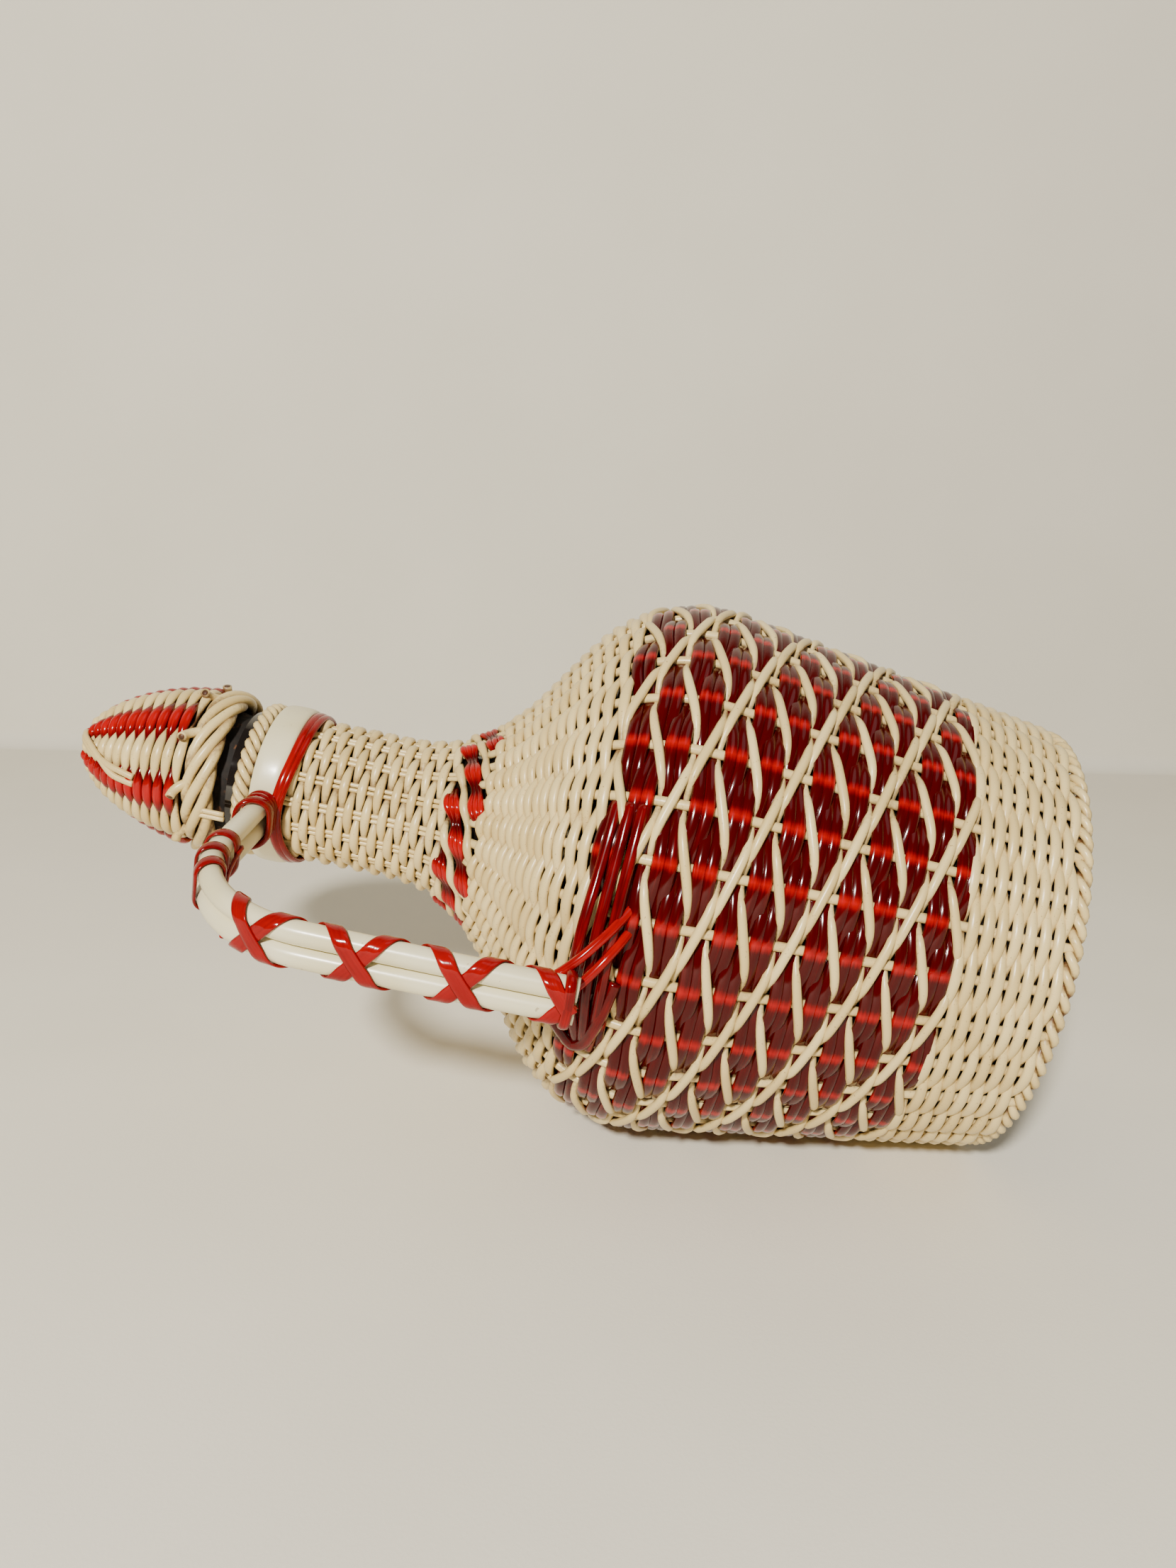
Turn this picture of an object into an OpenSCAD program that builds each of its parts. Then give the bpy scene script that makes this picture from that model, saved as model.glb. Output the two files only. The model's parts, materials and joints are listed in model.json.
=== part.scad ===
// Round glass bottle in a woven cane cover, lying on its side, with a woven stopper and a side handle.
// Every piece is modelled along the bottle's own axis, foot at zero, and place() then lays it down.

/* [Glass bottle] */
// Widest diameter of the glass
body_d = 170; // [140:1:205]
// Diameter of the glass at the top of its rounded foot
base_d = 134; // [112:1:162]
// Outer diameter of the glass neck
neck_d = 42; // [35:1:51]
// Height of the glass, foot to lip
bottle_h = 271; // [256:1:326]
// Height of the widest point
belly_h = 120; // [100:1:126]
// Radius of the round between the side and the shoulder
belly_round = 44; // [36:1:53]
// Radius of the hollow between the shoulder and the neck
neck_round = 56; // [46:1:60]
// Radius of the rounded foot
foot_round = 7; // [5:0.5:9]
// Thickness of the glass
glass_wall = 4; // [3:0.5:5]
// Bore of the mouth
mouth_d = 27; // [22:0.5:30]

/* [Cane cover] */
// Number of upright stakes round the body, an even number
stake_count = 32; // [24:2:36]
// Thickness and width of a cane
cane = 3; // [2.5:0.1:3.6]
// Thickness of a neck stake
thin_cane = 1.5; // [1.2:0.1:1.8]
// Height where the woven foot rows end and the red bands start
red_from = 38; // [32:1:42]
// Number of red bands up the body
band_count = 16; // [14:1:16]
// Height of one red band
band_pitch = 6.5; // [5.5:0.1:6.6]
// Spacing of the cream rows on the foot and the shoulder
row_pitch = 4.3; // [3.6:0.1:5.1]
// Height of the twisted collar at the foot of the neck
collar_h = 13; // [11:0.5:15]

/* [Handle] */
// Diameter of each of the two handle tubes
tube_d = 7; // [6:0.2:8.4]
// Distance of the handle's outside curve from the bottle's axis
handle_reach = 102; // [96:1:122]
// Radius of the handle's top bend
handle_bend = 39; // [32:1:46]
// Height on the body where the handle is lashed
handle_foot_h = 139; // [130:1:146]
// Width of the red binding tape
tape_w = 5.5; // [4:0.5:6.5]
// Angle of the handle below level when the bottle lies down
handle_dip = 7.5; // [0:0.5:15]

/* [Stopper] */
// Diameter of the woven cap at its border
cap_d = 56; // [50:1:66]
// Height of the woven cap above its border
cap_h = 47; // [39:1:57]
// Length of the cork inside the neck
cork_len = 32; // [26:1:38]
// Number of rows in the cap
cap_rows = 12; // [9:1:13]
// Number of colour sectors round the cap, an even number
cap_sectors = 8; // [6:2:10]

/* [Hidden] */

CREAM = [0.86, 0.81, 0.64];
PALE = [0.88, 0.86, 0.74];
RED = [0.62, 0.03, 0.05];
GLASS = [0.05, 0.06, 0.05];
CORK = [0.62, 0.45, 0.28];

FINE = 96;
TUBE_FINE = 32;
ARC_STEPS = 10;
// clearance between one layer of the cover and the next
seat = 0.15;
// clearance between the stopper and the bottle
running_gap = 0.35;

body_r = body_d / 2;
base_r = base_d / 2;
neck_r = neck_d / 2;
tube_r = tube_d / 2;

// ---- the glass outline: taper, belly arc, straight shoulder, neck hollow, neck ----
shoulder_angle = 56;
belly_c = [belly_h, body_r - belly_round];
foot_c = [foot_round, base_r - foot_round];
foot_to_belly = belly_c - foot_c;
foot_span = norm(foot_to_belly);
taper = atan2(foot_to_belly[1], foot_to_belly[0]) + asin((belly_round - foot_round) / foot_span);
shoulder_top = belly_c + belly_round * [sin(shoulder_angle), cos(shoulder_angle)];
slope_drop = shoulder_top[1] - neck_r - neck_round * (1 - cos(shoulder_angle));
slope_len = slope_drop / sin(shoulder_angle);
neck_c = shoulder_top + slope_len * [cos(shoulder_angle), -sin(shoulder_angle)]
    + neck_round * [sin(shoulder_angle), cos(shoulder_angle)];
taper_from = foot_c + foot_round * [-sin(taper), cos(taper)];
taper_to = belly_c + belly_round * [-sin(taper), cos(taper)];
slope_to = neck_c - neck_round * [sin(shoulder_angle), cos(shoulder_angle)];

// Outward lean of the surface at height z, from square to the axis
function lean(z) =
    z < taper_from[0] ? -asin(min(1, (foot_round - z) / foot_round)) :
    z < taper_to[0] ? -taper :
    z < shoulder_top[0] ? asin((z - belly_c[0]) / belly_round) :
    z < slope_to[0] ? shoulder_angle :
    z < neck_c[0] ? asin((neck_c[0] - z) / neck_round) : 0;

// Radius of the glass at height z
function glass_r(z) =
    z < taper_from[0] ? foot_c[1] + foot_round * cos(lean(z)) :
    z < taper_to[0] ? taper_from[1] + (z - taper_from[0]) * tan(taper) :
    z < shoulder_top[0] ? belly_c[1] + belly_round * cos(lean(z)) :
    z < slope_to[0] ? shoulder_top[1] - (z - shoulder_top[0]) * tan(shoulder_angle) :
    z < neck_c[0] ? neck_c[1] - neck_round * cos(lean(z)) : neck_r;

// Point [radius, height] that lies d outside the glass at height z
function off(z, d) = [glass_r(z) + d * cos(lean(z)), z + d * sin(lean(z))];

// Points along the glass between two heights, d outside it
function run(z0, z1, d, steps) = [for (i = [0:steps]) off(z0 + (z1 - z0) * i / steps, d)];
function back(list) = [for (i = [len(list) - 1:-1:0]) list[i]];

// Whole outline from the foot to the lip, d outside the glass
function outline(d) = concat(
    [for (i = [0:ARC_STEPS]) let (a = 90 - (90 - taper) * i / ARC_STEPS)
        [foot_c[1] + (foot_round + d) * cos(a), foot_c[0] - (foot_round + d) * sin(a)]],
    [for (i = [0:2 * ARC_STEPS]) let (a = -taper + (shoulder_angle + taper) * i / (2 * ARC_STEPS))
        [belly_c[1] + (belly_round + d) * cos(a), belly_c[0] + (belly_round + d) * sin(a)]],
    [for (i = [0:ARC_STEPS]) let (a = shoulder_angle * (1 - i / ARC_STEPS))
        [neck_c[1] - (neck_round - d) * cos(a), neck_c[0] - (neck_round - d) * sin(a)]]);

// ---- layers of the cover ----
stake_in = seat;
stake_out = stake_in + cane * 0.87;
weave_in = stake_out + seat;
weave_out = weave_in + cane;
neck_stake_out = seat + thin_cane;
neck_weave_in = neck_stake_out + seat;
neck_weave_out = neck_weave_in + cane * 0.9;

// ---- heights of the zones ----
red_to = red_from + band_count * band_pitch;
collar_from = slope_to[0] + 3;
collar_to = collar_from + collar_h;
lip_h = 9;
lip_r = neck_r + 2;
plait_r = 1.7;
border_out = lip_r + seat + 2 * plait_r;
strap_w = 11;
strap_top = bottle_h - lip_h;
strap_from = strap_top - strap_w;
neck_weave_to = strap_from - 2 * cane - 1;
stake_to = collar_from + 2;

// ---- foot rim, seated on the rounded foot, with the cover starting above it ----
rim_r = 2.7;
rim_reach = foot_round + rim_r + seat;
rim_z = rim_r + 0.6;
rim_ring_r = foot_c[1] + sqrt(rim_reach * rim_reach - pow(foot_c[0] - rim_z, 2));
rim_top = rim_z + rim_r + seat;
stake_from = max(foot_round, rim_top + stake_out * sin(taper));
foot_weave_from = max(foot_round, rim_top + weave_out * sin(taper));

// ---- stopper heights ----
cap_foot = bottle_h + running_gap + 4;
cap_r = cap_d / 2;
border_r = 2.5;
cap_c = cap_foot + 8;
cap_layer = 2;
cap_cane = 2.9;

function cap_shape(z) = cap_r * sqrt(max(0, 1 - pow((z - cap_c) / cap_h, 2)));
function cap_lean(z) = atan2(cap_r * cap_r * (z - cap_c), cap_h * cap_h * cap_shape(z));
// Point [radius, height] that lies d inside the cap's outside shape
function cap_in(z, d) = [cap_shape(z) - d * cos(cap_lean(z)), z - d * sin(cap_lean(z))];
cap_from = cap_c + 1.3;
cap_to = cap_c + cap_h * 0.93;
row_d = cap_cane / 2;
row_r = row_d - seat;
cap_stake_out = cap_cane + seat;
// loop at the tip, seated on the last row
loop_r = 1.5;
loop_in = 1.8;
last_row = cap_in(cap_to, row_d);
loop_ring_r = last_row[0] - loop_in;
loop_z = last_row[1] + sqrt(pow(row_r + loop_r + seat, 2) - loop_in * loop_in);

// ---- handle path, in the plane of the bottle's axis ----
leg_h = strap_from + strap_w / 2;
strap_out = neck_r + neck_weave_out + 1.6;
leg_from = strap_out + 2 * seat;
lash_t = 1.2;
lash_w = 2.8;
tape_t = 0.6;
tape_in = seat + 0.1;
tape_out = tape_in + tape_t + seat;
pair_gap = 0.2;
pair_off = tube_r + pair_gap / 2;
bend_c = [handle_reach - handle_bend, leg_h - handle_bend];
handle_end = off(handle_foot_h, weave_out + tube_r + lash_t + 2 * seat);
sweep_z = bend_c[1] - handle_end[1];
sweep_x = handle_reach - handle_end[0];
sweep_r = (sweep_z * sweep_z + sweep_x * sweep_x) / (2 * sweep_x);
sweep_a = asin(sweep_z / sweep_r);
leg_len = bend_c[0] - leg_from;
bend_len = handle_bend * PI / 2;
sweep_len = sweep_r * sweep_a * PI / 180;
path_len = leg_len + bend_len + sweep_len;

// Centre of the handle at distance s along it, and the direction it runs in, both as [x, z]
function path_at(s) =
    s < leg_len ? [leg_from + s, leg_h] :
    s < leg_len + bend_len ?
        let (a = 90 - (s - leg_len) / handle_bend * 180 / PI) bend_c + handle_bend * [cos(a), sin(a)] :
        let (a = (s - leg_len - bend_len) / sweep_r * 180 / PI)
            [handle_reach - sweep_r, bend_c[1]] + sweep_r * [cos(a), -sin(a)];
function path_dir(s) =
    s < leg_len ? [1, 0] :
    s < leg_len + bend_len ?
        let (a = 90 - (s - leg_len) / handle_bend * 180 / PI) [sin(a), -cos(a)] :
        let (a = (s - leg_len - bend_len) / sweep_r * 180 / PI) [-sin(a), -cos(a)];

// ---- lying down: the tapered side is level with the ground, on the ridges over its two lowest stakes ----
function ground_of(p, d) = p[0] * cos(taper) - p[1] * sin(taper) + d;
rest_sink = (taper_from[1] + weave_out) * (1 - cos(180 / stake_count));
lift = ground_of([taper_from[1], taper_from[0]], weave_out) - rest_sink;
far_x = rim_ring_r * sin(taper) - rim_z * cos(taper) + rim_r;
near_x = -loop_z * cos(taper) - loop_ring_r * sin(taper) - loop_r;
far_y = body_r + weave_out;
near_y = -handle_reach * cos(handle_dip) - pair_off * sin(handle_dip) - tube_r - tape_out - tape_t;

module place() {
    translate([-(far_x + near_x) / 2, -(far_y + near_y) / 2, lift])
        rotate([0, taper - 90, 0])
            rotate([0, 0, -90 - handle_dip])
                children();
}

// Lays a piece of the cover down and flattens what would reach under the ground
module place_flattened() {
    length = far_x - near_x;
    difference() {
        place()
            children();
        translate([-length / 2, -length / 2, -length])
            cube(length);
    }
}

module ring(r, z, tube) {
    translate([0, 0, z])
        rotate_extrude($fn = FINE)
            translate([r, 0])
                circle(r = tube, $fn = TUBE_FINE);
}

module ring_arc(r, z, tube, from, span) {
    translate([0, 0, z])
        rotate([0, 0, from])
            rotate_extrude(angle = span, $fn = FINE)
                translate([r, 0])
                    circle(r = tube, $fn = TUBE_FINE);
}

// A woven skin: rows of flat crests with grooves between them, edge being the slope's share of a row
module woven_shell(z0, rows, pitch, d0, d1, groove, edge) {
    outer = [for (i = [0:rows - 1])
        for (k = [[0, groove], [edge, 0], [1 - edge, 0]])
            off(z0 + (i + k[0]) * pitch, d1 - k[1])];
    z1 = z0 + rows * pitch;
    rotate_extrude($fn = FINE)
        polygon(concat(outer, [off(z1, d1 - groove)], back(run(z0, z1, d0, 2 * rows))));
}

// A flat stake that follows the glass, seen from the side, and set upright round the axis
module stake(points, width) {
    rotate([90, 0, 0])
        translate([0, 0, -width / 2])
            linear_extrude(width)
                polygon(points);
}

module pair_outline(r) {
    for (y = [-pair_off, pair_off])
        translate([0, y])
            circle(r = r, $fn = FINE);
    square([2 * r, 2 * pair_off], center = true);
}

// A band round both handle tubes, centred at distance s along the handle
module lashing_ring(s, width) {
    p = path_at(s);
    d = path_dir(s);
    translate([p[0], 0, p[1]])
        rotate([0, atan2(d[0], d[1]), 0])
            translate([0, 0, -width / 2])
                linear_extrude(width)
                    difference() {
                        pair_outline(tube_r + seat + lash_t);
                        pair_outline(tube_r + seat);
                    }
}

// ---- pieces of the bottle ----
module glass_bottle() {
    inside = outline(-glass_wall);
    color(GLASS)
        place()
            difference() {
                union() {
                    rotate_extrude($fn = FINE)
                        polygon(concat([[0, 0]], outline(0), [[neck_r, strap_top], [0, strap_top]]));
                    translate([0, 0, strap_top])
                        cylinder(h = lip_h, r = lip_r, $fn = FINE);
                }
                rotate_extrude($fn = FINE)
                    polygon(concat([[0, glass_wall]],
                        [for (p = inside) if (p[1] > glass_wall) p],
                        [[neck_r - glass_wall, strap_from], [mouth_d / 2, strap_top], [0, strap_top]]));
                translate([0, 0, strap_top - 1])
                    cylinder(h = lip_h + 2, d = mouth_d, $fn = FINE);
            }
}

module body_stakes() {
    steps = 30;
    points = concat([off(stake_from, stake_in)], run(taper_to[0], stake_to, stake_in, steps),
        back(run(taper_to[0], stake_to, stake_out, steps)), [off(stake_from, stake_out)]);
    color(CREAM)
        place()
            for (i = [0:stake_count - 1])
                rotate([0, 0, handle_dip + (i + 0.5) * 360 / stake_count])
                    stake(points, cane);
}

module neck_stakes() {
    steps = 12;
    z0 = stake_to + 1;
    z1 = strap_top - 0.5;
    points = concat(run(z0, neck_c[0], seat, steps), [off(z1, seat), off(z1, neck_stake_out)],
        back(run(z0, neck_c[0], neck_stake_out, steps)));
    spread = thin_cane / 2 + 0.15;
    color(CREAM)
        place()
            for (i = [0:stake_count / 2 - 1])
                rotate([0, 0, i * 720 / stake_count])
                    for (y = [-spread, spread])
                        translate([0, y, 0])
                            stake(points, thin_cane);
}

module foot_rim() {
    color(CREAM)
        place()
            ring(rim_ring_r, rim_z, rim_r);
}

module foot_weave() {
    z0 = foot_weave_from;
    rows = floor((red_from - z0) / row_pitch);
    color(CREAM)
        place_flattened()
            woven_shell(z0, rows, (red_from - seat - z0) / rows, weave_in, weave_out, 1.2, 0.14);
}

module red_weave() {
    color(RED)
        place_flattened()
            woven_shell(red_from, band_count, band_pitch, weave_in, weave_out, 2.3, 0.23);
}

// Thin cream canes that lie in the grooves between the red bands, clear of the ground
module crossing_canes() {
    cross_r = 0.55;
    color(CREAM)
        place()
            for (i = [1:band_count - 1]) {
                p = off(red_from + i * band_pitch, weave_out - rest_sink - seat - cross_r);
                ring(p[0], p[1], cross_r);
            }
}

module shoulder_weave() {
    z0 = red_to + seat;
    rows = round((collar_from - z0) / row_pitch * 1.5);
    color(CREAM)
        place()
            woven_shell(z0, rows, (collar_from - seat - z0) / rows, weave_in, weave_out, 1.2, 0.14);
}

// Slanting bundles of the collar, as two red rings between three cream ones
module collar_red() {
    collar_rings(RED, [1, 3], cane * 0.55);
}

module collar_cream() {
    collar_rings(CREAM, [0, 2, 4], cane * 0.4);
}

module collar_rings(tint, slots, tube) {
    color(tint)
        place()
            for (i = slots) {
                z = collar_from + (i + 0.5) * collar_h / 5;
                p = off(z, (z < stake_to + 2 ? stake_out : neck_stake_out) + seat + tube);
                ring(p[0], p[1], tube);
            }
}

module neck_weave() {
    pitch = cane;
    rows = floor((neck_weave_to - collar_to) / pitch);
    z0 = neck_weave_to - rows * pitch;
    color(CREAM)
        place()
            woven_shell(z0, rows, pitch, neck_weave_in, neck_weave_out, 1, 0.14);
}

module neck_border() {
    color(CREAM)
        place()
            for (i = [0, 1])
                ring(lip_r + plait_r + seat, strap_top + (2 * i + 1) * plait_r + (i + 1) * seat, plait_r);
}

module neck_strap() {
    r0 = neck_r + neck_stake_out + seat;
    edge = 1.5;
    color(PALE)
        place()
            rotate_extrude($fn = FINE)
                polygon([[r0, strap_from], [strap_out - edge, strap_from], [strap_out, strap_from + edge],
                    [strap_out, strap_top - edge], [strap_out - edge, strap_top], [r0, strap_top]]);
}

module neck_red_band() {
    tube = cane * 0.45;
    r = neck_r + neck_stake_out + seat + tube;
    color(RED)
        place()
            for (i = [0, 1])
                ring(r, strap_from - seat - tube - i * (2 * tube + seat), tube);
}

// One tube of the pair: a round section swept along the handle's path
module handle_tube(side) {
    sides = 24;
    stops = concat([0], [for (i = [0:14]) leg_len + bend_len * i / 14],
        [for (i = [1:10]) leg_len + bend_len + sweep_len * i / 10]);
    rings = [for (s = stops) let (p = path_at(s)) let (t = path_dir(s))
        for (k = [0:sides - 1]) let (a = 360 * k / sides)
            [p[0] - t[1] * tube_r * cos(a), side * pair_off + tube_r * sin(a), p[1] + t[0] * tube_r * cos(a)]];
    count = len(stops) - 1;
    walls = [for (i = [0:count - 1]) for (k = [0:sides - 1])
        let (a = sides * i + k)
        let (b = sides * i + (k + 1) % sides)
            [a, b, b + sides, a + sides]];
    ends = [[for (k = [sides - 1:-1:0]) k], [for (k = [0:sides - 1]) sides * count + k]];
    polyhedron(rings, concat(walls, ends), convexity = 10);
}

module handle_tube_upper() {
    color(PALE)
        place()
            handle_tube(1);
}

module handle_tube_lower() {
    color(PALE)
        place()
            handle_tube(-1);
}

// ---- red tape wound round the handle in two crossing spirals ----
tape_pitch = 29;
upper_rings = [0.5, 1.7, 2.9];
lower_rings = [0.5, 1.7, 2.9, 4.1];
tape_from = (upper_rings[2] + 0.8) * lash_w + tape_w / 2;
tape_to = path_len - (lower_rings[3] + 0.8) * lash_w - tape_w / 2;
TAPE_STEP = 15;

// Point of the pair's outline at turn angle a, d outside the tubes, as [across the plane, in the plane]
function pair_point(a, d) =
    let (r = tube_r + d)
    let (f = 360 * pair_off / (4 * pair_off + 2 * PI * tube_r))
    let (b = a - 360 * floor((a + f) / 360))
    b < f ? [pair_off * b / f, r] :
    b < 180 - f ? let (w = (b - f) / (180 - 2 * f) * 180) [pair_off + r * sin(w), r * cos(w)] :
    b < 180 + f ? [pair_off * (180 - b) / f, -r] :
        let (w = 180 + (b - 180 - f) / (180 - 2 * f) * 180) [-pair_off + r * sin(w), r * cos(w)];

function tape_point(s, a, d) =
    let (p = path_at(s))
    let (t = path_dir(s))
    let (q = pair_point(a, d))
    [p[0] - t[1] * q[1], q[0], p[1] + t[0] * q[1]];

module tape(hand, d) {
    turns = (tape_to - tape_from) / tape_pitch;
    count = floor(turns * 360 / TAPE_STEP);
    rings = [for (i = [0:count]) let (s = tape_from + (tape_to - tape_from) * i / count)
        for (c = [[-0.5, 0], [0.5, 0], [0.5, tape_t], [-0.5, tape_t]])
            tape_point(s + c[0] * tape_w, hand * i * TAPE_STEP + 90, d + c[1])];
    sides = [for (i = [0:count - 1]) for (k = [0:3])
        let (a = 4 * i + k)
        let (b = 4 * i + (k + 1) % 4)
            [a, b, b + 4, a + 4]];
    last = 4 * count;
    faces = concat(sides, [[3, 2, 1, 0], [last, last + 1, last + 2, last + 3]]);
    polyhedron(rings, hand > 0 ? faces : [for (f = faces) back(f)], convexity = 10);
}

module handle_tape_inner() {
    color(RED)
        place()
            tape(1, tape_in);
}

module handle_tape_outer() {
    color(RED)
        place()
            tape(-1, tape_out);
}

module upper_lashing() {
    color(RED)
        place()
            for (k = upper_rings)
                lashing_ring(k * lash_w, lash_w);
}

module lower_lashing() {
    color(RED)
        place()
            for (k = lower_rings)
                lashing_ring(path_len - k * lash_w, lash_w);
}

// ---- pieces of the stopper ----
module cork() {
    color(CORK)
        place()
            translate([0, 0, bottle_h - cork_len])
                cylinder(h = cork_len + running_gap, r1 = mouth_d / 2 - running_gap - 0.5,
                    r2 = mouth_d / 2 - running_gap, $fn = FINE);
}

module stopper_core() {
    core_d = cap_stake_out + cap_layer + seat;
    steps = 12;
    color(CORK)
        place()
            rotate_extrude($fn = FINE)
                polygon(concat([[0, bottle_h + running_gap], [neck_r, bottle_h + running_gap],
                    [neck_r, cap_foot]],
                    [for (i = [0:steps]) cap_in(cap_c + (cap_to - cap_c) * i / steps, core_d)],
                    [[0, cap_in(cap_to, core_d)[1]]]));
}

module cap_stakes() {
    steps = 10;
    points = concat(
        [for (i = [0:steps]) cap_in(cap_from + (cap_to - cap_from) * i / steps, cap_stake_out)],
        [for (i = [steps:-1:0]) cap_in(cap_from + (cap_to - cap_from) * i / steps, cap_stake_out + cap_layer)]);
    color(CREAM)
        place()
            for (i = [0:stake_count / 4 - 1])
                rotate([0, 0, i * 1440 / stake_count])
                    stake(points, 2);
}

module cap_rows_of(parity) {
    span = 360 / cap_sectors;
    for (i = [0:cap_rows - 1]) {
        p = cap_in(cap_from + row_d + (cap_to - cap_from - row_d) * i / (cap_rows - 1), row_d);
        for (k = [0:2:cap_sectors - 1])
            ring_arc(p[0], p[1], row_r, (k + parity) * span + 1, span - 2);
    }
}

module cap_weave_cream() {
    color(CREAM)
        place()
            cap_rows_of(0);
}

module cap_weave_red() {
    color(RED)
        place()
            cap_rows_of(1);
}

module cap_border() {
    color(CREAM)
        place()
            for (i = [0, 1])
                ring(cap_r - border_r, cap_foot + border_r + i * (2 * border_r + seat) - 1, border_r);
}

module cap_tip_loop() {
    color(RED)
        place()
            ring(loop_ring_r, loop_z, loop_r);
}

// Two thin canes outside the gap, which tie the stopper's border to the neck
module stopper_tie() {
    tie_r = thin_cane / 2;
    tie_out = border_out + running_gap + tie_r;
    above = border_r - sqrt(border_r * border_r - pow(tie_out - (cap_r - border_r), 2));
    tie_top = cap_foot - 1 + above - tie_r;
    tie_foot = strap_top + running_gap + 1;
    color(CREAM)
        place()
            for (a = [6, 10])
                rotate([0, 0, a])
                    translate([tie_out, 0, tie_foot])
                        cylinder(h = tie_top - tie_foot, r = tie_r, $fn = TUBE_FINE);
}

glass_bottle();
body_stakes();
neck_stakes();
foot_rim();
foot_weave();
red_weave();
crossing_canes();
shoulder_weave();
collar_red();
collar_cream();
neck_weave();
neck_border();
neck_strap();
neck_red_band();
handle_tube_upper();
handle_tube_lower();
handle_tape_inner();
handle_tape_outer();
upper_lashing();
lower_lashing();
cork();
stopper_core();
cap_stakes();
cap_weave_cream();
cap_weave_red();
cap_border();
cap_tip_loop();
stopper_tie();
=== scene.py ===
# %% [markdown]
# # A cane-covered demijohn, lying on its side
# The bottle is glass, and what you see of it is a cover woven from plastic cane in cream and red.
# This notebook builds that cover cane by cane around the fixed CAD frame, then gives each cane a finish,
# and at last sets the floor, the lights and the camera.
# A woven cover could be faked with a bump pattern on one skin. Here each strand is a real swept tube,
# because the gaps, the crossings and the glossy edges all come from its shape.

# %% Load the frame
import json
import math

import bpy
import numpy as np
from mathutils import Matrix, Vector


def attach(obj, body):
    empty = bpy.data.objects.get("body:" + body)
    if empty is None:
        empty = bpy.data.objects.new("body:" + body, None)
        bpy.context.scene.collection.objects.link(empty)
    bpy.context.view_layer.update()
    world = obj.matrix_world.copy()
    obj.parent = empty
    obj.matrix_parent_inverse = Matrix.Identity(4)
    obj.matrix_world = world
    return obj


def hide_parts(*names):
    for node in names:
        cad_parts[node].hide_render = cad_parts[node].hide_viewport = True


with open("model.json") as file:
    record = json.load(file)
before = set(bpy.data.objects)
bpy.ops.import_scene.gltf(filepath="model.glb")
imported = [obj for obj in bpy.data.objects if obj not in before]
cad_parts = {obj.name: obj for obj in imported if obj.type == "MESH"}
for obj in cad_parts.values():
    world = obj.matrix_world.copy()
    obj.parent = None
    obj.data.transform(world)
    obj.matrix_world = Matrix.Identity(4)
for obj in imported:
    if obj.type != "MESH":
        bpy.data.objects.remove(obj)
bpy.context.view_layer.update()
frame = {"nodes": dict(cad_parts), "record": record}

# %% [markdown]
# The bottle lies tilted, so world axes are awkward to work in. The foot's flat face is a mount in the
# record, and from it come the bottle's own axes: ALONG runs from the foot to the tip, FRONT faces the
# handle's side and UP completes them. A place on the cover is then a height, an angle and a reach.
# Everything is worked out in millimetres and turned to metres when a mesh is made.

# %% The bottle's own axes
MM = 0.001
foot_face = frame["record"]["mounts"][0]
FOOT = np.array(foot_face["pos_m"]) / MM
ALONG = -np.array(foot_face["axis"]) / np.linalg.norm(foot_face["axis"])
FRONT = np.array([0.0, -1.0, 0.0])
UP = np.cross(ALONG, FRONT)


def radial(angle):
    """The direction away from the bottle's axis at an angle in radians, zero being FRONT."""
    angle = np.asarray(angle, float)[..., None]
    return np.cos(angle) * FRONT + np.sin(angle) * UP


def place(height, angle, reach):
    """The point at a height along the axis, an angle round it and a reach from it."""
    height = np.asarray(height, float)[..., None]
    return FOOT + height * ALONG + radial(angle) * np.asarray(reach, float)[..., None]


print("foot centre in mm:", FOOT.round(2), "along:", ALONG.round(4))

# %% [markdown]
# All canes lie on a round surface, so one small class holds such a surface: its radius at each height,
# and from that how far it leans. The glass is measured from the CAD solid itself by casting rays at its
# side, which keeps this cover on the real bottle even if the bottle's size changes.

# %% A round surface to lay canes on


class Skin:
    """A surface of revolution: radius, lean and length along it, by height."""

    def __init__(self, heights, radii):
        self.heights = np.asarray(heights, float)
        self.radii = np.asarray(radii, float)
        self.leans = -np.arctan(np.gradient(self.radii, self.heights))
        steps = np.hypot(np.diff(self.heights), np.diff(self.radii))
        self.lengths = np.concatenate([[0.0], np.cumsum(steps)])

    def lay(self, height, angle, lift):
        """Points that stand lift outside the surface, and the way out of it there."""
        height, angle, lift = np.broadcast_arrays(height, angle, lift)
        lean = np.interp(height, self.heights, self.leans)[..., None]
        outward = np.cos(lean) * radial(angle) + np.sin(lean) * ALONG
        base = place(height, angle, np.interp(height, self.heights, self.radii))
        return base + outward * lift[..., None], outward

    def rows(self, start, stop, count):
        """Heights of count rows between two heights, evenly spaced along the surface."""
        first, last = np.interp([start, stop], self.heights, self.lengths)
        at = first + (np.arange(count) + 0.5) * (last - first) / count
        return np.interp(at, self.lengths, self.heights)


def measured_glass():
    """The glass's own outline, from rays cast at its upper side."""
    glass = frame["nodes"]["glass_bottle"]
    top = math.pi / 2
    heights = np.arange(1.0, 262.0, 1.0)
    radii = []
    for height in heights:
        start = place(height, top, 200.0) * MM
        hit, where, _, _ = glass.ray_cast(Vector(start), Vector(-radial(top)))
        radii.append(float(np.dot(np.array(where) / MM - FOOT, radial(top))) if hit else radii[-1])
    padded = np.pad(radii, 2, mode="edge")
    return Skin(heights, np.convolve(padded, np.full(5, 0.2), mode="valid"))


GLASS = measured_glass()
print("widest glass radius, mm:", GLASS.radii.max().round(2), "at", GLASS.heights[GLASS.radii.argmax()])

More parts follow.
